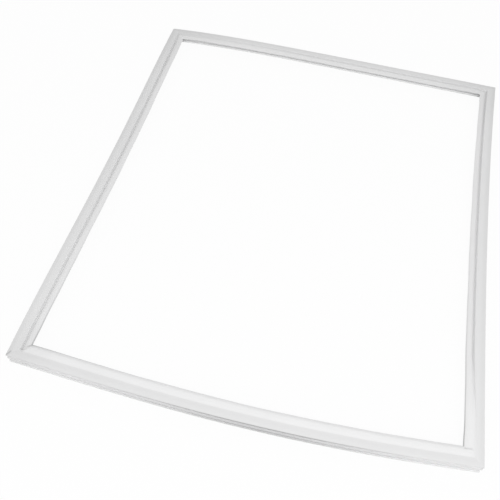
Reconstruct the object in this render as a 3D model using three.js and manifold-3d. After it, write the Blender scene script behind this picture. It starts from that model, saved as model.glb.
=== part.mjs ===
// Refrigerator door gasket: a loop of hollow soft vinyl with a magnet strip along each side.
// Lengths are in millimetres. The loop lies flat, sealing face up, with its base on z = 0.

import * as THREE from 'three';
import { mergeVertices } from 'three/addons/utils/BufferGeometryUtils.js';
import Module from 'manifold-3d';

// Loop, measured over its outer edge from corner to corner
const LOOP_WIDTH = 610;
const LOOP_LENGTH = 742.4;

// How the soft rails lie: outward bow at mid-length, its lean to one end, and its change towards both ends
const NEAR = { rise: 15.4, lean: 2.2, flank: -2.4, steps: 9 };
const RIGHT = { rise: -5.6, lean: -0.8, flank: 0.4, steps: 6 };
const FAR = { rise: 6.3, lean: -5.8, flank: 4.1, steps: 10 };
const LEFT = { rise: -2.7, lean: -0.4, flank: 5.2, steps: 8 };

// Walls of the extrusion
const WALL = 0.9;
const SKIN = 0.8;

// Magnet strips and the pocket that holds them
const MAGNET_WIDTH = 10;
const MAGNET_THICKNESS = 2.4;
const MAGNET_CLEARANCE = 0.3;
const MAGNET_END_GAP = 8;

// Foot that the door's retainer clamps
const FOOT_INSET = 1.6;
const FOOT_WIDTH = 12.6;
const FOOT_HEIGHT = 3.1;
const FOOT_RADIUS = 0.5;

// Neck between the foot and the bellows
const NECK_INSET = 3.8;
const NECK_WIDTH = 7.4;
const NECK_HEIGHT = 4.8;

// Bellows that lets the sealing face move
const BELLOWS_INSET = 0.9;
const BELLOWS_WIDTH = 13.2;
const BELLOWS_HEIGHT = 5.7;
const BELLOWS_RADIUS = 1.3;
const BELLOWS_SHOULDER = 0.4;

// Waist between the bellows and the band over the magnet
const WAIST_INSET = 2;
const WAIST_RADIUS = 0.4;

// Outer edge of the band, and the fall of its face towards that edge
const EDGE_HEIGHT = 1.3;
const EDGE_RADIUS = 0.5;
const SHOULDER_WIDTH = 5;
const SHOULDER_DROP = 0.6;
const SHOULDER_RADIUS = 40;

// Groove beside the band
const GROOVE_DEPTH = 4.9;
const GROOVE_SLOPE = 1.1;
const GROOVE_RADIUS = 0.6;
const BAND_RADIUS = 1.3;

// Lip that springs from the groove, bulges over its crest and falls to its tip. Reaches and rises count from
// the groove's floor.
const LIP_THICKNESS = 1.1;
const LIP_ROOT_DROP = 1.5;
const LIP_ROOT_RADIUS = 0.8;
const LIP_SIDE_REACH = 1.5;
const LIP_SIDE_RISE = 2.2;
const LIP_SIDE_RADIUS = 3;
const LIP_CREST_REACH = 4.6;
const LIP_CREST_RISE = 3.5;
const LIP_CREST_RADIUS = 6;
const LIP_REACH = 10.9;
const LIP_RISE = 2;

// Breather holes, one under the middle of each rail
const BREATHER_DIAMETER = 3;
const BREATHER_SIDES = 12;
const BREATHER_OVERRUN = 1;

// Places worked out from the sizes above
const HALF_WIDTH = LOOP_WIDTH / 2;
const HALF_LENGTH = LOOP_LENGTH / 2;
const POCKET_WIDTH = MAGNET_WIDTH + 2 * MAGNET_CLEARANCE;
const POCKET_HEIGHT = MAGNET_THICKNESS + 2 * MAGNET_CLEARANCE;
const POCKET_INSET = WAIST_INSET + WALL;
const BAND_WIDTH = POCKET_INSET + POCKET_WIDTH + WALL;
const NECK_TOP = FOOT_HEIGHT + NECK_HEIGHT;
const BELLOWS_TOP = NECK_TOP + BELLOWS_HEIGHT;
const POCKET_FLOOR = BELLOWS_TOP + WALL;
const TOP = POCKET_FLOOR + POCKET_HEIGHT + SKIN;
const CURVE_SEGMENTS = 3;
const CORNER_PASSES = 12;
const WELD = 1e-4;

const wasm = await Module();
wasm.setup();

// A closed outline through corners of inset, height and radius, each rounded by a curve that its sides limit
function roundedOutline(corners, Outline) {
  const at = corners.map(([inset, height]) => new THREE.Vector2(inset, height));
  const outline = new Outline();
  corners.forEach(([inset, height, radius], i) => {
    const back = at.at(i - 1).clone().sub(at[i]);
    const ahead = at[(i + 1) % at.length].clone().sub(at[i]);
    const half = Math.acos(back.dot(ahead) / (back.length() * ahead.length())) / 2;
    const cut = Math.min(radius / Math.tan(half), back.length() / 2, ahead.length() / 2);
    const start = at[i].clone().add(back.setLength(cut));
    const end = at[i].clone().add(ahead.setLength(cut));
    if (i === 0) outline.moveTo(start.x, start.y);
    else outline.lineTo(start.x, start.y);
    if (cut > 0) outline.quadraticCurveTo(inset, height, end.x, end.y);
  });
  outline.closePath();
  return outline;
}

// The lip's underside, one thickness below each corner of its face, in the same order
function lipUnderside(face) {
  const at = face.map(([inset, height]) => new THREE.Vector2(inset, height));
  const normals = at.slice(1).map((end, i) => {
    const along = end.clone().sub(at[i]).normalize();
    return new THREE.Vector2(along.y, -along.x);
  });
  return face.map(([, , radius], i) => {
    const before = normals[Math.max(i - 1, 0)];
    const after = normals[Math.min(i, normals.length - 1)];
    const mitre = before.clone().add(after).multiplyScalar(LIP_THICKNESS / (1 + before.dot(after)));
    return [at[i].x + mitre.x, at[i].y + mitre.y, radius];
  });
}

// Section of the extrusion: inset from the loop's outer edge, then height above the base
function vinylSection() {
  const footEnd = FOOT_INSET + FOOT_WIDTH;
  const neckEnd = NECK_INSET + NECK_WIDTH;
  const bellowsEnd = BELLOWS_INSET + BELLOWS_WIDTH;
  const grooveInset = BAND_WIDTH + GROOVE_SLOPE;
  const grooveFloor = TOP - GROOVE_DEPTH;
  const lip = [
    [grooveInset, grooveFloor, GROOVE_RADIUS],
    [grooveInset + LIP_SIDE_REACH, grooveFloor + LIP_SIDE_RISE, LIP_SIDE_RADIUS],
    [grooveInset + LIP_CREST_REACH, grooveFloor + LIP_CREST_RISE, LIP_CREST_RADIUS],
    [grooveInset + LIP_REACH, grooveFloor + LIP_RISE, LIP_THICKNESS / 2],
  ];
  const section = roundedOutline([
    [FOOT_INSET, 0, FOOT_RADIUS],
    [footEnd, 0, FOOT_RADIUS],
    [footEnd, FOOT_HEIGHT, FOOT_RADIUS],
    [neckEnd, FOOT_HEIGHT, 0],
    [neckEnd, NECK_TOP, 0],
    [bellowsEnd, NECK_TOP, BELLOWS_RADIUS],
    [bellowsEnd, BELLOWS_TOP - LIP_ROOT_DROP, LIP_ROOT_RADIUS],
    ...lipUnderside(lip),
    ...lip.toReversed(),
    [BAND_WIDTH, TOP, BAND_RADIUS],
    [SHOULDER_WIDTH, TOP, SHOULDER_RADIUS],
    [0, TOP - SHOULDER_DROP, EDGE_RADIUS],
    [0, TOP - EDGE_HEIGHT, EDGE_RADIUS],
    [WAIST_INSET, BELLOWS_TOP + WALL / 2, WAIST_RADIUS],
    [BELLOWS_INSET, BELLOWS_TOP - BELLOWS_SHOULDER, BELLOWS_RADIUS / 2],
    [BELLOWS_INSET, NECK_TOP, BELLOWS_RADIUS],
    [NECK_INSET, NECK_TOP, 0],
    [NECK_INSET, FOOT_HEIGHT, 0],
    [FOOT_INSET, FOOT_HEIGHT, FOOT_RADIUS],
  ], THREE.Shape);
  const pocketEnd = POCKET_INSET + POCKET_WIDTH;
  const pocket = roundedOutline([
    [POCKET_INSET, POCKET_FLOOR, 0],
    [pocketEnd, POCKET_FLOOR, 0],
    [pocketEnd, POCKET_FLOOR + POCKET_HEIGHT, 0],
    [POCKET_INSET, POCKET_FLOOR + POCKET_HEIGHT, 0],
  ], THREE.Path);
  const chamber = roundedOutline([
    [NECK_INSET + WALL, FOOT_HEIGHT, 0],
    [neckEnd - WALL, FOOT_HEIGHT, 0],
    [neckEnd - WALL, NECK_TOP + WALL, 0],
    [bellowsEnd - WALL, NECK_TOP + WALL, BELLOWS_RADIUS / 2],
    [bellowsEnd - WALL, BELLOWS_TOP, BELLOWS_RADIUS],
    [BELLOWS_INSET + WALL, BELLOWS_TOP, BELLOWS_RADIUS],
    [BELLOWS_INSET + WALL, NECK_TOP + WALL, BELLOWS_RADIUS / 2],
    [NECK_INSET + WALL, NECK_TOP + WALL, 0],
  ], THREE.Path);
  section.holes.push(pocket, chamber);
  return section;
}

// Outward bow of a rail at a place s from -1 to 1 along it
const bow = (rail, s) => (1 - s * s) * (rail.rise + rail.lean * s + rail.flank * s * s);

// Furthest that a rail's stations lie outside the straight line between its corners
function reach(rail) {
  const stations = Array.from({ length: rail.steps + 1 }, (_, i) => bow(rail, (2 * i) / rail.steps - 1));
  return Math.max(...stations);
}

// Middle of the loop's bounding box, which is the origin
const CENTRE_X = (reach(RIGHT) - reach(LEFT)) / 2;
const CENTRE_Y = (reach(FAR) - reach(NEAR)) / 2;

// Each end rail runs along x and each side rail along y: the other coordinate follows from the bow
const endY = (rail, side, x, inset) => side * (HALF_LENGTH + bow(rail, x / HALF_WIDTH) - inset);
const sideX = (rail, side, y, inset) => side * (HALF_WIDTH + bow(rail, y / HALF_LENGTH) - inset);

// The mitre of two rails at one inset, found by letting each rail place the other in turn
function cornerPoint([right, far], inset) {
  let x = right * HALF_WIDTH;
  let y = far * HALF_LENGTH;
  for (let pass = 0; pass < CORNER_PASSES; pass += 1) {
    x = sideX(right > 0 ? RIGHT : LEFT, right, y, inset);
    y = endY(far > 0 ? FAR : NEAR, far, x, inset);
  }
  return [x, y];
}

// Rails in the order in which the loop runs, anticlockwise from the near left corner
const RAILS = {
  near: { shape: NEAR, side: -1, alongX: true, from: [-1, -1], to: [1, -1] },
  right: { shape: RIGHT, side: 1, alongX: false, from: [1, -1], to: [1, 1] },
  far: { shape: FAR, side: 1, alongX: true, from: [1, 1], to: [-1, 1] },
  left: { shape: LEFT, side: -1, alongX: false, from: [-1, 1], to: [-1, -1] },
};

// A point of a rail at a length along its axis
function railPoint(rail, along, inset) {
  if (rail.alongX) return [along, endY(rail.shape, rail.side, along, inset)];
  return [sideX(rail.shape, rail.side, along, inset), along];
}

// A point of a rail from one mitre (t = 0) to the other (t = 1)
function mitredPoint(rail, t, inset) {
  const from = cornerPoint(rail.from, inset);
  const to = cornerPoint(rail.to, inset);
  if (t === 0) return from;
  if (t === 1) return to;
  const axis = rail.alongX ? 0 : 1;
  return railPoint(rail, THREE.MathUtils.lerp(from[axis], to[axis], t), inset);
}

// A point at a length along a rail, on the straight stretch between the two stations around it
function stretchPoint(rail, along, inset) {
  const { steps } = rail.shape;
  const axis = rail.alongX ? 0 : 1;
  const start = cornerPoint(rail.from, inset)[axis];
  const end = cornerPoint(rail.to, inset)[axis];
  const place = (steps * (along - start)) / (end - start);
  const first = THREE.MathUtils.clamp(Math.floor(place), 0, steps - 1);
  const [x0, y0] = mitredPoint(rail, first / steps, inset);
  const [x1, y1] = mitredPoint(rail, (first + 1) / steps, inset);
  return [THREE.MathUtils.lerp(x0, x1, place - first), THREE.MathUtils.lerp(y0, y1, place - first)];
}

// Moves each vertex of a straight extrusion, given as inset, height and station, to its place
function wrap(positions, place) {
  for (let i = 0; i < positions.length; i += 3) {
    const [x, y] = place(positions[i], positions[i + 2]);
    positions[i + 2] = positions[i + 1];
    positions[i] = x - CENTRE_X;
    positions[i + 1] = y - CENTRE_Y;
  }
  return positions;
}

// One vertex for each place, and none of the straight extrusion's shading
function weld(positions) {
  const geometry = new THREE.BufferGeometry();
  geometry.setAttribute('position', new THREE.BufferAttribute(positions, 3));
  return mergeVertices(geometry, WELD);
}

const toSolid = (geometry) => new wasm.Manifold(new wasm.Mesh({
  numProp: 3,
  vertProperties: geometry.attributes.position.array,
  triVerts: new Uint32Array(geometry.index.array),
}));

function toGeometry(solid) {
  const mesh = solid.getMesh();
  const geometry = new THREE.BufferGeometry();
  geometry.setAttribute('position', new THREE.BufferAttribute(mesh.vertProperties, 3));
  geometry.setIndex(new THREE.BufferAttribute(mesh.triVerts, 1));
  geometry.computeVertexNormals();
  return geometry;
}

// The section runs once round the loop, with no end faces, and its last station is its first
function vinylLoop() {
  const rails = Object.values(RAILS);
  const steps = rails.reduce((sum, rail) => sum + rail.shape.steps, 0);
  const straight = new THREE.ExtrudeGeometry(vinylSection(), {
    depth: steps,
    steps,
    curveSegments: CURVE_SEGMENTS,
    bevelEnabled: false,
  });
  const sides = straight.groups.find((group) => group.materialIndex === 1);
  const positions = straight.attributes.position.array.slice(3 * sides.start, 3 * (sides.start + sides.count));
  return weld(wrap(positions, (inset, station) => {
    let rest = Math.round(station);
    const rail = rails.find(({ shape }) => {
      if (rest <= shape.steps) return true;
      rest -= shape.steps;
      return false;
    });
    return mitredPoint(rail, rest / rail.shape.steps, inset);
  }));
}

// A breather runs from under the foot, through the chamber, into the magnet pocket
function breather(rail) {
  const top = POCKET_FLOOR + MAGNET_CLEARANCE / 2;
  const height = top + BREATHER_OVERRUN;
  const hole = new THREE.CylinderGeometry(BREATHER_DIAMETER / 2, BREATHER_DIAMETER / 2, height, BREATHER_SIDES);
  hole.rotateX(Math.PI / 2);
  const [x, y] = railPoint(rail, 0, NECK_INSET + NECK_WIDTH / 2);
  hole.translate(x - CENTRE_X, y - CENTRE_Y, top - height / 2);
  hole.deleteAttribute('normal');
  hole.deleteAttribute('uv');
  return toSolid(mergeVertices(hole, WELD));
}

function vinylFrame() {
  const loop = toSolid(vinylLoop());
  const frame = Object.values(RAILS).reduce((solid, rail) => solid.subtract(breather(rail)), loop);
  return new THREE.Mesh(toGeometry(frame), new THREE.MeshStandardMaterial({
    name: 'vinyl',
    color: 0xe3e3e5,
    roughness: 0.45,
    metalness: 0,
  }));
}

// A magnet strip is cut square, short of the welded corners, and lies in the middle of its pocket
function magnetStrip(rail) {
  const inset = POCKET_INSET + MAGNET_CLEARANCE;
  const floor = POCKET_FLOOR + MAGNET_CLEARANCE;
  const section = new THREE.Shape([
    new THREE.Vector2(inset, floor),
    new THREE.Vector2(inset + MAGNET_WIDTH, floor),
    new THREE.Vector2(inset + MAGNET_WIDTH, floor + MAGNET_THICKNESS),
    new THREE.Vector2(inset, floor + MAGNET_THICKNESS),
  ]);
  const { steps } = rail.shape;
  const straight = new THREE.ExtrudeGeometry(section, { depth: steps, steps, bevelEnabled: false });
  const half = (rail.alongX ? HALF_WIDTH : HALF_LENGTH) - BAND_WIDTH - MAGNET_END_GAP;
  const direction = rail.alongX ? rail.to[0] : rail.to[1];
  const positions = wrap(straight.attributes.position.array, (at, station) => {
    const step = Math.round(station);
    if (step === 0) return stretchPoint(rail, -direction * half, at);
    if (step === steps) return stretchPoint(rail, direction * half, at);
    return mitredPoint(rail, step / steps, at);
  });
  const geometry = weld(positions);
  geometry.computeVertexNormals();
  return new THREE.Mesh(geometry, new THREE.MeshStandardMaterial({
    name: 'magnet',
    color: 0x3b3734,
    roughness: 0.8,
    metalness: 0,
  }));
}

const group = new THREE.Group();
const frame = vinylFrame();
frame.name = 'vinyl_frame';
group.add(frame);
for (const [name, rail] of Object.entries(RAILS)) {
  const strip = magnetStrip(rail);
  strip.name = `magnet_strip_${name}`;
  group.add(strip);
}

export default group;
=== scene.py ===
"""Looks of the refrigerator door gasket: soft white vinyl loop, magnet strips, floor, light and camera."""

import bpy
import numpy as np
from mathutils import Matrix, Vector


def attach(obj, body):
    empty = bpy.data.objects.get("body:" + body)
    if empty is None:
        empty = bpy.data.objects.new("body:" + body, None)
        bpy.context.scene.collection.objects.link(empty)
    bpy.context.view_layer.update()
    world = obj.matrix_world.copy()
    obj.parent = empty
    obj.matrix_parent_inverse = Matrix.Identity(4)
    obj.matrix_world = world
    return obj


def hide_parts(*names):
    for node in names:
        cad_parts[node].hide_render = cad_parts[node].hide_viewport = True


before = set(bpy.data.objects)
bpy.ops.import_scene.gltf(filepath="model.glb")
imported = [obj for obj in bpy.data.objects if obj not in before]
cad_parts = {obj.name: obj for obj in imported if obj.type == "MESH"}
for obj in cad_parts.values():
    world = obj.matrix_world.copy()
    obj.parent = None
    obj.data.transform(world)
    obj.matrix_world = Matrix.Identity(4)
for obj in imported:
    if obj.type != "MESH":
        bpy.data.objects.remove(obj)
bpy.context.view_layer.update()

# Lengths are in millimetres until a mesh is made
MM = 0.001

# Loop over its outer edge, and how each rail lies: outward bow, its lean and its change towards the ends
LOOP_WIDTH = 610.0
LOOP_LENGTH = 742.4
HALF_WIDTH = LOOP_WIDTH / 2
HALF_LENGTH = LOOP_LENGTH / 2
NEAR, RIGHT, FAR, LEFT = range(4)
BOWS = np.array([
    (15.4, 2.2, -2.4),
    (-5.6, -0.8, 0.4),
    (6.3, -5.8, 4.1),
    (-2.7, -0.4, 5.2),
])

# Section, inset from the outer edge and height above the foot's underside
WALL = 0.9
POCKET_INSET = 2.9
POCKET_WIDTH = 10.6
POCKET_HEIGHT = 3.0
SKIN = 0.8
FOOT_INSET, FOOT_WIDTH, FOOT_HEIGHT, FOOT_RADIUS = 1.6, 12.6, 3.1, 0.5
NECK_INSET, NECK_WIDTH, NECK_HEIGHT, NECK_RADIUS = 3.8, 7.4, 4.8, 0.25
BELLOWS_INSET, BELLOWS_WIDTH, BELLOWS_HEIGHT, BELLOWS_RADIUS = 0.9, 13.2, 5.7, 1.3
BELLOWS_SHOULDER = 0.4
WAIST_INSET, WAIST_RADIUS = 2.0, 0.4
EDGE_HEIGHT, EDGE_RADIUS = 1.3, 0.5
SHOULDER_WIDTH, SHOULDER_DROP, SHOULDER_RADIUS = 5.0, 0.6, 40.0
BAND_RADIUS = 1.3
LIP_THICKNESS, LIP_BEND, LIP_ROOT_DROP, LIP_ROOT_RADIUS = 1.1, 6.0, 1.5, 0.8
BAND_WIDTH = POCKET_INSET + POCKET_WIDTH + WALL
NECK_TOP = FOOT_HEIGHT + NECK_HEIGHT
BELLOWS_TOP = NECK_TOP + BELLOWS_HEIGHT
POCKET_FLOOR = BELLOWS_TOP + WALL
TOP = POCKET_FLOOR + POCKET_HEIGHT + SKIN

# The lip's two forms: band's inner edge, groove floor, lip side, crest and tip, each as inset, height
# above the band and radius. Open, it hangs free inside the band; closed, it is pushed up against it.
OPEN_LIP = (
    (BAND_WIDTH, 0, BAND_RADIUS),
    (15.5, -4.9, 0.6),
    (17.0, -2.7, 3),
    (20.1, -1.4, LIP_BEND),
    (26.4, -2.9, 0.55),
)
CLOSED_LIP = (
    (10.6, 0, BAND_RADIUS),
    (12.0, -0.1, 3),
    (16.0, 0.25, 8),
    (21.5, 0.3, 8),
    (26.1, -2.2, 0.55),
)
# How far the lip is closed, from 0 open to 1, at distances along each rail
CLOSING = (
    ((0, 0), (7, 1)),
    ((0, 1), (50, 0.95), (90, 0.6), (150, 0), (690, 0), (742, 0.15)),
    ((0, 0.15), (12, 0.5), (300, 0.55), (450, 0.75), (540, 0.9), (600, 0.85), (610, 0.6)),
    ((0, 0.6), (25, 0.25), (70, 0.05), (120, 0), (742, 0)),
)
# Extra reach of the lip on each rail, and how far inside the band it starts
LIP_EXTRA = (0.0, -0.9, 0.0, 0.5)
DRIFT_START = 2
# Waves of the lip: height, share of it in the reach, share that closing takes away, phase from rail to
# rail, stations by which the lift trails the reach, and length, weight and phase of each sine
LIP_WAVE = 0.25
WAVE_REACH = 0.5
WAVE_CALM = 0.8
WAVE_PHASE = 1.7
WAVE_TRAIL = 7
SINES = ((29, 1.0, 1), (13.7, 0.7, 2), (61, 0.5, 3))
# Share of a rail at each end over which the lip's drift dies away
DRIFT_END = 0.05
# Places where the lip stands higher: rail, distance along it, half length and lift
LIP_LIFTS = (
    (FAR, 572, 34, 0.7),
    (FAR, 14, 16, 0.3),
)
# Breather hole from under the foot into the pocket, at the middle of each rail: diameter, sides and
# how far its cutter runs on at both ends
BREATHER_DIAMETER, BREATHER_SIDES = 3.0, 24
BREATHER_OVERRUN = 1.0
# Edges that turn by more than this many degrees are shaded as creases
SHARP_ANGLE = 60
# Points with a tone below this are new ones of the holes, and take the plain tone
NO_TONE = 0.05
# Welds: depth and half width of the seam's hollow
WELD_DEPTH = 0.12
WELD_RUN = 1.6

# Stations along a rail, how far they crowd towards the welds, and rounds in which a mitre is found
STATIONS = 150
CROWDING = 0.75
MITRE_ROUNDS = 12

# Colour of the vinyl, and how its tone varies over the piece, much of it painted light and shade. An end
# or start of two numbers is an inset, and the length inward over which the change is made.
VINYL_COLOUR = (0.74, 0.74, 0.742)
LIP_PALER, CLOSED_PALER = 0.03, 0.04
PALE_LENGTH = 3
# Painted shade on the band of the near rail
NEAR_BAND_SHADE, NEAR_BAND_SHADE_END = 0.035, (9, 4)
# Painted shade on the outer shoulder of the rails other than the near one, where it slopes away from the
# light
EDGE_SHADE, EDGE_SHADE_END = 0.045, (3, 6)
# Painted shade on the band of the far rail, which gets less light
FAR_BAND_SHADE, FAR_BAND_SHADE_END = 0.03, (12, 4)
# Painted shade towards the two far corners and the near left corner, where less light reaches them
FAR_CORNER_SHADE, FAR_WELD_LENGTH = 0.06, 150
NEAR_LEFT_CORNER_SHADE, LEFT_WELD_LENGTH = 0.05, 70
MOTTLING = 0.02
# Painted light on the far rail's inner side, in the shade under the lip: paler by this, twice as much at
# the far left weld
INNER_PAINTED_LIGHT, INNER_START, UNDER_LIP = 0.12, 10, BELLOWS_TOP - 2
INNER_WELD_LENGTH = 90
# Painted light on the far rail's foot: paler by this, and two bands near the far right weld that part at a
# height, painted light above it and a painted shadow below, where the foot meets the floor
FOOT_PAINTED_LIGHT, FOOT_START, FOOT_SOFTNESS = 0.12, (13, 0.5), 0.3
FOOT_LIGHT_AND_SHADOW, FOOT_BAND_HEIGHT, FOOT_BAND_SOFTNESS = 0.16, 1.8, 0.5
FOOT_BAND_END, FOOT_BAND_LENGTH = 160, 60
# Painted shade on the lip's inner rim: where it starts inside the band, and how softly
RIM_START, RIM_SOFTNESS = 9.9, 0.8
# Its depth at the near left and near right welds, and the length over which it fades
RIM_SHADES = ((0.34, 110.0), (0.5, 150.0))
# Bands of painted shade over the outer side of the near rail, deepest in the middle where it bows out; a
# negative depth paints it paler: lowest and highest height, depth at the rail's ends, and what is added in
# its middle
SIDE_SHADE_BANDS = (
    (NECK_TOP + 5.9, TOP - 0.6, 0.13, 0.58),
    (NECK_TOP + 0.3, NECK_TOP + 5.9, 0.0, 0.17),
    (FOOT_HEIGHT - 0.2, NECK_TOP + 0.3, -0.06, 0.28),
    (-1.0, FOOT_HEIGHT - 0.2, -0.05, 0.26),
)
SIDE_SOFTNESS, SIDE_END = 0.4, (3, 2)
# How much deeper the painted shade in the middles of those bands is towards the right
SIDE_SHADE_LEAN = 0.8
# Painted shade in the creases at the welds: start and end in plan, half width and depth
CREASE_SHADES = (
    ((-304.8, -367.2), (-300.6, -360.7), 2.0, 0.3),
    ((-287.5, -348.4), (-282.0, -346.6), 1.0, 0.2),
    ((-282.0, -346.6), (-277.8, -342.8), 1.2, 0.3),
    ((280.5, -347.6), (289.8, -346.7), 1.8, 0.25),
    ((274.6, 350.3), (275.2, 349.0), 1.5, 0.2),
)

# Surface: roughness, strength and depth of the streaks' relief, stretch and detail of both noises
VINYL_ROUGHNESS = 0.42
STREAK_STRENGTH, STREAK_DEPTH = 0.04, 0.0002
NOISES = (("Streaks", (6, 1400, 1), 3), ("Mottling", (22, 60, 1), 2))
MAGNET_COLOURS = ((0.022, 0.019, 0.017, 1), (0.05, 0.043, 0.04, 1))
MAGNET_ROUGHNESS, MAGNET_SPECKLE = 0.8, 900

# Camera, from the photograph's vanishing lines
CAMERA_PLACE = (0.0681, -0.7786, 0.8473)
CAMERA_TURN = (38.918, -2.970, 13.045)
CAMERA_LENS = 52.78
SENSOR_WIDTH = 36
NEAREST, FURTHEST = 0.01, 100

# Floor: half its side, colour, roughness, and how much of its own white the camera sees, the rest
# being lit
FLOOR_REACH = 12.0
FLOOR_COLOUR = (0.8, 0.8, 0.8, 1)
FLOOR_ROUGHNESS = 0.9
FLOOR_GLOW = 0.95

# Light: level of the world, and soft boxes by name, place, target, size in metres and power in watts
WORLD_LEVEL = 0.5
LAMPS = (
    ("soft box by the camera", (0.1, -1.1, 1.2), (0, -0.2, 0), 0.6, 5.0),
    ("soft box near right", (0.8, -0.9, 1.3), (0.2, -0.2, 0), 0.8, 4.0),
    ("front fill", (0, -2.5, 1.3), (0, 0, 0), 2.0, 19),
    ("back fill", (0, 2.5, 1.3), (0, 0, 0), 2.0, 12),
    ("left fill", (-2.5, 0, 1.3), (0, 0, 0), 2.0, 12),
    ("right fill", (2.5, 0, 1.3), (0, 0, 0), 2.0, 9),
)


def rounded(corners):
    """Closed outline through corners of inset, height, radius, chords and points in the side that follows.

    Each corner is cut back along both of its sides by radius / tan(half its angle), but by no more than
    half a side, and the cut is bridged by the quadratic curve (1-t)^2 start + 2t(1-t) corner + t^2 end,
    at chords + 1 values of t. The straight side that follows is split evenly by its points.
    """
    corners = np.asarray(corners, float)
    at = corners[:, :2]
    back = np.roll(at, 1, axis=0) - at
    ahead = np.roll(at, -1, axis=0) - at
    long_back = np.linalg.norm(back, axis=1)
    long_ahead = np.linalg.norm(ahead, axis=1)
    half = np.arccos(np.clip((back * ahead).sum(1) / (long_back * long_ahead), -1, 1)) / 2
    cut = np.minimum(corners[:, 2] / np.tan(half), np.minimum(long_back, long_ahead) * 0.499)
    start = at + back * (cut / long_back)[:, None]
    end = at + ahead * (cut / long_ahead)[:, None]
    following = np.roll(start, -1, axis=0)
    stretches = []
    for i, (chords, splits) in enumerate(corners[:, 3:].astype(int)):
        t = np.linspace(0, 1, chords + 1)[:, None]
        stretches.append((1 - t) ** 2 * start[i] + 2 * t * (1 - t) * at[i] + t**2 * end[i])
        t = np.linspace(0, 1, splits + 2)[1:-1, None]
        stretches.append((1 - t) * end[i] + t * following[i])
    return np.concatenate(stretches)


def lip_underside(face):
    """The lip's underside, one thickness below each corner of its face, in the same order.

    A corner moves by thickness (n1 + n2) / (1 + n1.n2), where n1 and n2 are the normals of the sides
    that meet there.
    """
    face = np.array(face)
    along = np.diff(face[:, :2], axis=0)
    normals = np.stack([along[:, 1], -along[:, 0]], 1) / np.linalg.norm(along, axis=1)[:, None]
    before = normals[[0, *range(len(normals))]]
    after = normals[[*range(len(normals)), -1]]
    face[:, :2] += LIP_THICKNESS * (before + after) / (1 + (before * after).sum(1))[:, None]
    return face.tolist()


def skin_outline(lip):
    """Outer outline of the section, anticlockwise: foot, neck, bellows, lip, groove, band and waist."""
    foot_end = FOOT_INSET + FOOT_WIDTH
    neck_end = NECK_INSET + NECK_WIDTH
    bellows_end = BELLOWS_INSET + BELLOWS_WIDTH
    edge, groove, side, crest, tip = [(inset, TOP + height, radius) for inset, height, radius in lip]
    face = [groove, side, crest, tip]
    below = lip_underside(face)
    below[0][0] = max(below[0][0], BAND_WIDTH)
    return rounded([
        (FOOT_INSET, 0, FOOT_RADIUS, 2, 2),
        (foot_end, 0, FOOT_RADIUS, 2, 0),
        (foot_end, FOOT_HEIGHT, FOOT_RADIUS, 2, 0),
        (neck_end, FOOT_HEIGHT, NECK_RADIUS, 1, 0),
        (neck_end, NECK_TOP, NECK_RADIUS, 1, 0),
        (bellows_end, NECK_TOP, BELLOWS_RADIUS, 3, 1),
        (bellows_end, BELLOWS_TOP - LIP_ROOT_DROP, LIP_ROOT_RADIUS, 3, 0),
        (*below[0], 2, 0),
        (*below[1], 3, 0),
        (*below[2], 3, 2),
        (*below[3], 3, 0),
        (*tip, 3, 5),
        (*crest, 6, 1),
        (*side, 5, 1),
        (*groove, 4, 1),
        (*edge, 5, 5),
        (SHOULDER_WIDTH, TOP, SHOULDER_RADIUS, 5, 2),
        (0, TOP - SHOULDER_DROP, EDGE_RADIUS, 4, 0),
        (0, TOP - EDGE_HEIGHT, EDGE_RADIUS, 3, 1),
        (WAIST_INSET, BELLOWS_TOP + WALL / 2, WAIST_RADIUS, 3, 0),
        (BELLOWS_INSET, BELLOWS_TOP - BELLOWS_SHOULDER, BELLOWS_RADIUS / 2, 3, 1),
        (BELLOWS_INSET, NECK_TOP, BELLOWS_RADIUS, 4, 0),
        (NECK_INSET, NECK_TOP, NECK_RADIUS, 1, 1),
        (NECK_INSET, FOOT_HEIGHT, NECK_RADIUS, 1, 1),
        (FOOT_INSET, FOOT_HEIGHT, FOOT_RADIUS, 2, 1),
    ])


def pocket_outline():
    """Outline of the magnet pocket, clockwise because it is a hollow."""
    end = POCKET_INSET + POCKET_WIDTH
    top = POCKET_FLOOR + POCKET_HEIGHT
    return np.array([
        (POCKET_INSET, POCKET_FLOOR),
        (POCKET_INSET, top),
        (end, top),
        (end, POCKET_FLOOR),
    ])


def chamber_outline():
    """Outline of the air chamber in the bellows and neck, clockwise because it is a hollow."""
    neck_end = NECK_INSET + NECK_WIDTH - WALL
    bellows_end = BELLOWS_INSET + BELLOWS_WIDTH - WALL
    floor = NECK_TOP + WALL
    return rounded([
        (NECK_INSET + WALL, FOOT_HEIGHT, NECK_RADIUS, 1, 0),
        (neck_end, FOOT_HEIGHT, NECK_RADIUS, 1, 0),
        (neck_end, floor, NECK_RADIUS, 1, 0),
        (bellows_end, floor, BELLOWS_RADIUS / 2, 1, 0),
        (bellows_end, BELLOWS_TOP, BELLOWS_RADIUS, 2, 0),
        (BELLOWS_INSET + WALL, BELLOWS_TOP, BELLOWS_RADIUS, 2, 0),
        (BELLOWS_INSET + WALL, floor, BELLOWS_RADIUS / 2, 1, 0),
        (NECK_INSET + WALL, floor, NECK_RADIUS, 1, 0),
    ])[::-1]


def bow(rail, s):
    """Outward bow (1 - s^2)(rise + lean s + flank s^2) of a rail at places s from -1 to 1."""
    rise, lean, flank = BOWS[rail]
    return (1 - s**2) * (rise + lean * s + flank * s**2)


def end_y(rail, x, inset):
    """Row of a short rail at x: half the length plus the bow, less the inset, on the rail's own side."""
    return (-1 if rail == NEAR else 1) * (HALF_LENGTH + bow(rail, x / HALF_WIDTH) - inset)


def side_x(rail, y, inset):
    """Column of a long rail at y: half the width plus the bow, less the inset, on the rail's own side."""
    return (-1 if rail == LEFT else 1) * (HALF_WIDTH + bow(rail, y / HALF_LENGTH) - inset)


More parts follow.
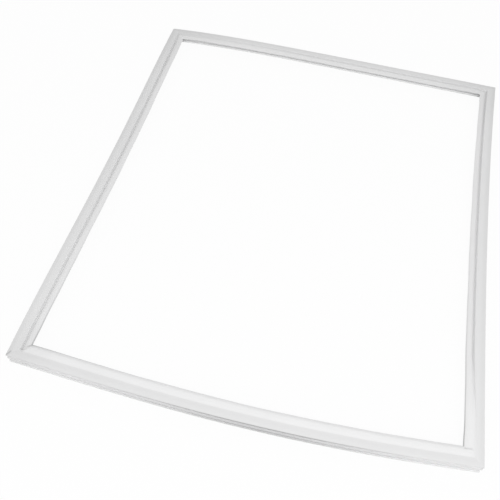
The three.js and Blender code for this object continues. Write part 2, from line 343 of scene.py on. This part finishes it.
def mitre(side, end, inset):
    """Where a long and a short rail meet at each inset, by letting each place the other in turn."""
    x = np.full_like(inset, HALF_WIDTH if side == RIGHT else -HALF_WIDTH)
    y = np.full_like(inset, HALF_LENGTH if end == FAR else -HALF_LENGTH)
    for _ in range(MITRE_ROUNDS):
        x = side_x(side, y, inset)
        y = end_y(end, x, inset)
    return x, y


# The mitres in the order in which the loop passes them, and the middle of the loop's box
CORNERS = ((LEFT, NEAR), (RIGHT, NEAR), (RIGHT, FAR), (LEFT, FAR))
SAMPLES = np.linspace(-1, 1, 401)
CENTRE_X = (bow(RIGHT, SAMPLES).max() - bow(LEFT, SAMPLES).max()) / 2
CENTRE_Y = (bow(FAR, SAMPLES).max() - bow(NEAR, SAMPLES).max()) / 2


def ease(x):
    """Smooth step 3x^2 - 2x^3 from 0 to 1."""
    x = np.clip(x, 0, 1)
    return x * x * (3 - 2 * x)


def rise(x, start, length):
    """Smooth step from 0 at a start to 1 a length further on."""
    return ease((x - start) / length)


def rail_length(rail):
    """Length of a rail, over its outer edge."""
    return LOOP_WIDTH if rail in (NEAR, FAR) else LOOP_LENGTH


def closing(rail, t):
    """How far the lip is closed against the band: 0 open, 1 closed."""
    places, values = zip(*CLOSING[rail])
    return np.interp(t * rail_length(rail), places, values)


def lip_drift(rail, t):
    """Extra reach and lift of the lip's tip along a rail.

    They are the rail's own reach, waves that are sums of sines, and local lifts.
    """
    along = t * rail_length(rail)
    away = ease(np.minimum(t, 1 - t) / DRIFT_END)
    phase = WAVE_PHASE * rail
    wave = sum(weight * np.sin(along / length + turns * phase) for length, weight, turns in SINES)
    lift = away * LIP_WAVE * np.roll(wave, WAVE_TRAIL) * (1 - WAVE_CALM * closing(rail, t))
    for where, centre, half, height in LIP_LIFTS:
        if where == rail:
            lift = lift + height * ease(1 - np.abs(along - centre) / half)
    return away * (LIP_EXTRA[rail] + WAVE_REACH * LIP_WAVE * wave), lift


def rail_grid(rail, open_outline, closed_outline, t):
    """Points of a rail: rows are the places t from 0 to 1 along it, columns the section's points.

    The section is mixed from its open and closed outlines and its lip drifts. The length coordinate runs
    in a straight line from mitre to mitre at each inset, and the other follows the bow.
    """
    mix = closing(rail, t)[:, None]
    section = (1 - mix)[..., None] * open_outline + mix[..., None] * closed_outline
    inset, height = section[..., 0], section[..., 1]
    on_lip = rise(inset, BAND_WIDTH + DRIFT_START, LIP_BEND)
    reach, lift = lip_drift(rail, t)
    inset = inset + on_lip * reach[:, None]
    height = height + on_lip * lift[:, None]
    to_weld = np.minimum(t, 1 - t) * rail_length(rail)
    on_face = rise(height, BELLOWS_TOP, POCKET_HEIGHT)
    height = height - WELD_DEPTH * on_face * ease(1 - to_weld / WELD_RUN)[:, None]
    x0, y0 = mitre(*CORNERS[rail], inset)
    x1, y1 = mitre(*CORNERS[(rail + 1) % 4], inset)
    if rail in (NEAR, FAR):
        x = x0 + (x1 - x0) * t[:, None]
        y = end_y(rail, x, inset)
    else:
        y = y0 + (y1 - y0) * t[:, None]
        x = side_x(rail, y, inset)
    points = np.stack([x - CENTRE_X, y - CENTRE_Y, height], axis=-1)
    # painted shade in the welds' creases is taken off the tone
    return points, tone(rail, t, section[..., 0], section[..., 1], mix) - crease_shade(points)


def tone(rail, t, inset, height, closed):
    """Paler or darker places of a rail, as a factor on the vinyl's colour.

    The single wall of the lip lets light through and is paler than the band over the dark magnet, most of
    all where it is stretched over the band. The rest is painted light and shade: painted shade on the
    bands of the near and far rails, on the outer shoulder of the other rails, in bands over the near
    rail's outer side, on the lip's inner rim at the two near welds and towards three corners; painted
    light on the far rail's inner side and foot, with a painted shadow low on the foot near the far right
    weld.
    """
    along = (t * rail_length(rail))[:, None]
    ahead = rail_length(rail) - along
    s = (2 * t - 1)[:, None]
    start = BAND_WIDTH + PALE_LENGTH if rail == FAR else BAND_WIDTH - 1 - PALE_LENGTH * closed
    value = 1 + (LIP_PALER + CLOSED_PALER * closed) * rise(inset, start, PALE_LENGTH)
    if rail == NEAR:
        # painted shade on the near rail's band
        value = value - NEAR_BAND_SHADE * (1 - rise(inset, *NEAR_BAND_SHADE_END))
        # painted shade in bands over the near rail's outer side
        value = value - painted_side_shade(s, inset, height)
    else:
        # painted shade on the outer shoulder
        value = value - EDGE_SHADE * (1 - rise(inset, *EDGE_SHADE_END))
    if rail == FAR:
        # painted shade on the far rail's band, and painted light on its inner side and foot
        value = value - FAR_BAND_SHADE * (1 - rise(inset, *FAR_BAND_SHADE_END)) + painted_light_inner_side(along, ahead, inset, height)
    none = float("inf")
    far_weld = {NEAR: none, RIGHT: ahead, FAR: np.minimum(along, ahead), LEFT: along}[rail]
    left_weld = {NEAR: along, RIGHT: none, FAR: none, LEFT: ahead}[rail]
    right_weld = {NEAR: none, RIGHT: along, FAR: none, LEFT: none}[rail]
    # painted shade towards three corners
    value = value - FAR_CORNER_SHADE * ease(1 - far_weld / FAR_WELD_LENGTH)
    value = value - NEAR_LEFT_CORNER_SHADE * ease(1 - left_weld / LEFT_WELD_LENGTH)
    # painted shade on the lip's inner rim near the two near welds
    rim = rise(inset, BAND_WIDTH + RIM_START, RIM_SOFTNESS) * ease(height - BELLOWS_TOP)
    for weld, (depth, fade) in zip((left_weld, right_weld), RIM_SHADES):
        value = value - depth * rim * np.exp(-weld / fade)
    return value


def painted_side_shade(s, inset, height):
    """Depth of the bands of painted shade on the near rail's outer side, at places s from -1 to 1."""
    middle = (1 + SIDE_SHADE_LEAN * s) * (1 - s * s) ** 3
    value = 0
    for low, high, ends, centre in SIDE_SHADE_BANDS:
        above = ease((height - low) / SIDE_SOFTNESS + 0.5)
        below = ease((high - height) / SIDE_SOFTNESS + 0.5)
        value = value + (ends + centre * middle) * above * below
    return value * (1 - rise(inset, *SIDE_END))


def painted_light_inner_side(along, ahead, inset, height):
    """Painted light on the far rail's inner side and foot, and near the right weld painted light above a
    painted shadow.
    """
    inner = ease(inset - INNER_START) * ease(UNDER_LIP - height)
    foot = rise(inset, *FOOT_START) * ease((FOOT_HEIGHT + FOOT_SOFTNESS - height) / FOOT_SOFTNESS)
    low = ease((FOOT_BAND_HEIGHT - height) / FOOT_BAND_SOFTNESS)
    light_and_shadow = FOOT_LIGHT_AND_SHADOW * ease((FOOT_BAND_END - along) / FOOT_BAND_LENGTH) * (1 - 2 * low)
    return INNER_PAINTED_LIGHT * inner * (1 + ease(1 - ahead / INNER_WELD_LENGTH)) + foot * (FOOT_PAINTED_LIGHT + light_and_shadow)


def crease_shade(points):
    """Painted shade in the creases of the welds on the upper side: each has its depth where its line is
    near.
    """
    value = np.zeros(points.shape[:2])
    for start, end, half_width, depth in CREASE_SHADES:
        line = np.subtract(end, start)
        place = ((points[..., :2] - start) @ line / (line @ line)).clip(0, 1)
        gap = np.linalg.norm(points[..., :2] - start - place[..., None] * line, axis=-1)
        value += depth * ease(1 - gap / half_width) * ease(points[..., 2] - BELLOWS_TOP)
    return value


def station_places(count):
    """Places from 0 to 1, crowded towards both ends by mixing a cosine with the even spacing."""
    even = np.arange(count) / count
    return (1 - CROWDING) * even + CROWDING * (0.5 - 0.5 * np.cos(np.pi * even))


def loop_sheet(open_outline, closed_outline):
    """Vertices, tones, quads and texture places of an outline carried once round the loop.

    The sheet is closed on itself both ways. Texture places count the length along the outer edge and the
    length round the section, in metres.
    """
    places = station_places(STATIONS)
    grids = [rail_grid(rail, open_outline, closed_outline, places) for rail in range(4)]
    rows = np.concatenate([points for points, _ in grids])
    tones = np.concatenate([np.broadcast_to(tones, points.shape[:2]) for points, tones in grids])
    n_rows, n_cols = rows.shape[:2]
    i = np.arange(n_rows)[:, None]
    j = np.arange(n_cols)[None, :]
    i2 = (i + 1) % n_rows
    j2 = (j + 1) % n_cols
    quads = np.stack([i * n_cols + j, i * n_cols + j2, i2 * n_cols + j2, i2 * n_cols + j], axis=-1)
    starts = np.cumsum([0.0] + [rail_length(rail) for rail in range(4)])
    stretches = [starts[rail] + places * rail_length(rail) for rail in range(4)]
    along = np.concatenate(stretches + [starts[4:]])
    steps = np.linalg.norm(np.roll(open_outline, -1, axis=0) - open_outline, axis=1)
    across = np.concatenate([[0.0], np.cumsum(steps)])
    u = np.stack([along[i], along[i], along[i + 1], along[i + 1]], axis=-1)
    v = np.stack([across[j], across[j + 1], across[j + 1], across[j]], axis=-1)
    uv = np.stack(np.broadcast_arrays(u, v), axis=-1) * MM
    return rows.reshape(-1, 3), tones.ravel(), quads.reshape(-1, 4), uv.reshape(-1, 2)


def mesh_piece(name, verts, tones, quads, uv):
    """A mesh object from vertices in millimetres, their tones, quads and each corner's texture place."""
    mesh = bpy.data.meshes.new(name)
    mesh.vertices.add(len(verts))
    mesh.vertices.foreach_set("co", (verts * MM).astype(np.float32).ravel())
    mesh.loops.add(quads.size)
    mesh.loops.foreach_set("vertex_index", quads.astype(np.int32).ravel())
    mesh.polygons.add(len(quads))
    mesh.polygons.foreach_set("loop_start", np.arange(len(quads), dtype=np.int32) * 4)
    mesh.polygons.foreach_set("use_smooth", np.ones(len(quads), bool))
    mesh.update(calc_edges=True)
    mesh.attributes.new("tone", "FLOAT", "POINT").data.foreach_set("value", tones.astype(np.float32))
    mesh.uv_layers.new(name="extrusion").data.foreach_set("uv", uv.astype(np.float32).ravel())
    mesh.validate()
    obj = bpy.data.objects.new(name, mesh)
    bpy.context.scene.collection.objects.link(obj)
    return obj


def new_material(name):
    """A material with an empty node tree, its Principled shader and its output."""
    material = bpy.data.materials.new(name)
    material.use_nodes = True
    tree = material.node_tree
    return material, tree, tree.nodes["Principled BSDF"]


def finish_group():
    """Shared finish of extruded vinyl: fine streaks along the length, soft mottling, as values about 1."""
    group = bpy.data.node_groups.new("extruded finish", "ShaderNodeTree")
    group.interface.new_socket("Place", in_out="INPUT", socket_type="NodeSocketVector")
    group.interface.new_socket("Streaks", in_out="OUTPUT", socket_type="NodeSocketFloat")
    group.interface.new_socket("Mottling", in_out="OUTPUT", socket_type="NodeSocketFloat")
    nodes, links = group.nodes, group.links
    enter = nodes.new("NodeGroupInput")
    leave = nodes.new("NodeGroupOutput")
    for name, stretch, detail in NOISES:
        mapping = nodes.new("ShaderNodeMapping")
        mapping.inputs["Scale"].default_value = stretch
        noise = nodes.new("ShaderNodeTexNoise")
        noise.inputs["Scale"].default_value = 1
        noise.inputs["Detail"].default_value = detail
        links.new(enter.outputs["Place"], mapping.inputs["Vector"])
        links.new(mapping.outputs["Vector"], noise.inputs["Vector"])
        links.new(noise.outputs["Fac"], leave.inputs[name])
    return group


def vinyl_material():
    """Soft white vinyl, satin, with the streaks of its extrusion and a tone that varies over the piece,
    much of it painted light and shade.
    """
    material, tree, shader = new_material("soft white vinyl")
    nodes, links = tree.nodes, tree.links
    place = nodes.new("ShaderNodeUVMap")
    place.uv_map = "extrusion"
    finish = nodes.new("ShaderNodeGroup")
    finish.node_tree = finish_group()
    links.new(place.outputs["UV"], finish.inputs["Place"])
    tone_value = nodes.new("ShaderNodeAttribute")
    tone_value.attribute_name = "tone"
    mottling = nodes.new("ShaderNodeMapRange")
    mottling.inputs["To Min"].default_value = 1 - MOTTLING
    mottling.inputs["To Max"].default_value = 1 + MOTTLING
    links.new(finish.outputs["Mottling"], mottling.inputs["Value"])
    factor = nodes.new("ShaderNodeMath")
    factor.operation = "MULTIPLY"
    links.new(tone_value.outputs["Fac"], factor.inputs[0])
    links.new(mottling.outputs["Result"], factor.inputs[1])
    colour = nodes.new("ShaderNodeVectorMath")
    colour.operation = "SCALE"
    colour.inputs[0].default_value = VINYL_COLOUR
    links.new(factor.outputs["Value"], colour.inputs["Scale"])
    links.new(colour.outputs["Vector"], shader.inputs["Base Color"])
    bump = nodes.new("ShaderNodeBump")
    bump.inputs["Strength"].default_value = STREAK_STRENGTH
    bump.inputs["Distance"].default_value = STREAK_DEPTH
    links.new(finish.outputs["Streaks"], bump.inputs["Height"])
    links.new(bump.outputs["Normal"], shader.inputs["Normal"])
    shader.inputs["Roughness"].default_value = VINYL_ROUGHNESS
    return material


def magnet_material():
    """Ferrite-filled rubber: near black, dull, finely speckled."""
    material, tree, shader = new_material("ferrite rubber")
    where = tree.nodes.new("ShaderNodeTexCoord")
    noise = tree.nodes.new("ShaderNodeTexNoise")
    noise.inputs["Scale"].default_value = MAGNET_SPECKLE
    ramp = tree.nodes.new("ShaderNodeValToRGB")
    for element, colour in zip(ramp.color_ramp.elements, MAGNET_COLOURS):
        element.color = colour
    tree.links.new(where.outputs["Object"], noise.inputs["Vector"])
    tree.links.new(noise.outputs["Fac"], ramp.inputs["Fac"])
    tree.links.new(ramp.outputs["Color"], shader.inputs["Base Color"])
    shader.inputs["Roughness"].default_value = MAGNET_ROUGHNESS
    return material


def breather_cutter():
    """Upright prisms, one at each rail's middle under the neck, from below the foot into the pocket."""
    turn = np.arange(BREATHER_SIDES) * 2 * np.pi / BREATHER_SIDES
    ring = BREATHER_DIAMETER / 2 * np.stack([np.cos(turn), np.sin(turn)], 1)
    inset = NECK_INSET + NECK_WIDTH / 2
    middle = np.zeros(1)
    verts, faces = [], []
    for rail in range(4):
        if rail in (NEAR, FAR):
            centre = np.array([-CENTRE_X, end_y(rail, middle, inset)[0] - CENTRE_Y])
        else:
            centre = np.array([side_x(rail, middle, inset)[0] - CENTRE_X, -CENTRE_Y])
        first = len(verts)
        for height in (-BREATHER_OVERRUN, POCKET_FLOOR + BREATHER_OVERRUN):
            verts += [(x, y, height) for x, y in (ring + centre).tolist()]
        low = [first + i for i in range(BREATHER_SIDES)]
        high = [i + BREATHER_SIDES for i in low]
        faces += [low[::-1], high]
        faces += [(low[i - 1], low[i], high[i], high[i - 1]) for i in range(BREATHER_SIDES)]
    mesh = bpy.data.meshes.new("breather cutter")
    mesh.from_pydata([tuple(c * MM for c in vert) for vert in verts], [], faces)
    cutter = bpy.data.objects.new("breather cutter", mesh)
    bpy.context.scene.collection.objects.link(cutter)
    return cutter


def cut_breathers(piece):
    """Takes the breather holes out of the piece's mesh."""
    cutter = breather_cutter()
    boolean = piece.modifiers.new("breathers", "BOOLEAN")
    boolean.operation = "DIFFERENCE"
    boolean.solver = "EXACT"
    boolean.object = cutter
    bpy.context.view_layer.update()
    whole = piece.data
    evaluated = piece.evaluated_get(bpy.context.evaluated_depsgraph_get())
    piece.data = bpy.data.meshes.new_from_object(evaluated)
    piece.modifiers.remove(boolean)
    bpy.data.meshes.remove(whole)
    piece.data.name = piece.name
    piece.data.set_sharp_from_angle(angle=np.radians(SHARP_ANGLE))
    tones = np.empty(len(piece.data.vertices), np.float32)
    piece.data.attributes["tone"].data.foreach_get("value", tones)
    tones[tones < NO_TONE] = 1
    piece.data.attributes["tone"].data.foreach_set("value", tones)
    cut = cutter.data
    bpy.data.objects.remove(cutter)
    bpy.data.meshes.remove(cut)


def gasket():
    """The vinyl frame: its skin and the two hollows inside it, in one mesh."""
    pocket, chamber = pocket_outline(), chamber_outline()
    parts = [
        loop_sheet(skin_outline(OPEN_LIP), skin_outline(CLOSED_LIP)),
        loop_sheet(pocket, pocket),
        loop_sheet(chamber, chamber),
    ]
    verts, tones, quads, uv = zip(*parts)
    firsts = np.cumsum([0] + [len(part) for part in verts[:-1]])
    quads = [part + first for part, first in zip(quads, firsts)]
    arrays = [np.concatenate(part) for part in (verts, tones, quads, uv)]
    piece = mesh_piece("gasket_vinyl", *arrays)
    piece.data.materials.append(vinyl_material())
    cut_breathers(piece)
    weighted = piece.modifiers.new("even shading", "WEIGHTED_NORMAL")
    weighted.weight = 50
    weighted.keep_sharp = True
    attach(piece, "root")
    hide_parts("vinyl_frame")
    return piece


def floor():
    """A pale floor that the camera sees nearly white, with the loop's faint shadow on it."""
    reach = FLOOR_REACH
    corners = [(-reach, -reach, 0), (reach, -reach, 0), (reach, reach, 0), (-reach, reach, 0)]
    mesh = bpy.data.meshes.new("floor")
    mesh.from_pydata(corners, [], [(0, 1, 2, 3)])
    obj = bpy.data.objects.new("floor", mesh)
    bpy.context.scene.collection.objects.link(obj)
    material, tree, shader = new_material("pale floor")
    shader.inputs["Base Color"].default_value = FLOOR_COLOUR
    shader.inputs["Roughness"].default_value = FLOOR_ROUGHNESS
    shader.inputs["Specular IOR Level"].default_value = 0.0
    glow = tree.nodes.new("ShaderNodeEmission")
    glow.inputs["Strength"].default_value = 1.0
    path = tree.nodes.new("ShaderNodeLightPath")
    seen = tree.nodes.new("ShaderNodeMath")
    seen.operation = "MULTIPLY"
    seen.inputs[1].default_value = FLOOR_GLOW
    mix = tree.nodes.new("ShaderNodeMixShader")
    tree.links.new(path.outputs["Is Camera Ray"], seen.inputs[0])
    tree.links.new(seen.outputs[0], mix.inputs[0])
    tree.links.new(shader.outputs[0], mix.inputs[1])
    tree.links.new(glow.outputs[0], mix.inputs[2])
    tree.links.new(mix.outputs[0], tree.nodes["Material Output"].inputs["Surface"])
    mesh.materials.append(material)
    return obj


def area_lamp(name, place, target, size, power):
    """A square soft box at a place, turned to a target."""
    data = bpy.data.lights.new(name, "AREA")
    data.shape = "SQUARE"
    data.size = size
    data.energy = power
    lamp = bpy.data.objects.new(name, data)
    lamp.location = place
    lamp.rotation_euler = (Vector(target) - Vector(place)).to_track_quat("-Z", "Y").to_euler()
    bpy.context.scene.collection.objects.link(lamp)
    return lamp


def lighting():
    """Soft boxes and a pale world."""
    world = bpy.data.worlds.new("studio")
    bpy.context.scene.world = world
    world.use_nodes = True
    background = world.node_tree.nodes["Background"]
    background.inputs["Color"].default_value = (1, 1, 1, 1)
    background.inputs["Strength"].default_value = WORLD_LEVEL
    for lamp in LAMPS:
        area_lamp(*lamp)


def camera():
    """The photograph's camera."""
    data = bpy.data.cameras.new("camera")
    data.lens = CAMERA_LENS
    data.sensor_width = SENSOR_WIDTH
    data.clip_start, data.clip_end = NEAREST, FURTHEST
    obj = bpy.data.objects.new("camera", data)
    obj.location = CAMERA_PLACE
    obj.rotation_euler = np.radians(CAMERA_TURN)
    bpy.context.scene.collection.objects.link(obj)
    bpy.context.scene.camera = obj
    return obj


camera()
gasket()
strip_finish = magnet_material()
for node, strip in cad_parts.items():
    if node.startswith("magnet_strip"):
        strip.data.materials.clear()
        strip.data.materials.append(strip_finish)
floor()
lighting()
bpy.context.scene.view_settings.view_transform = "Standard"
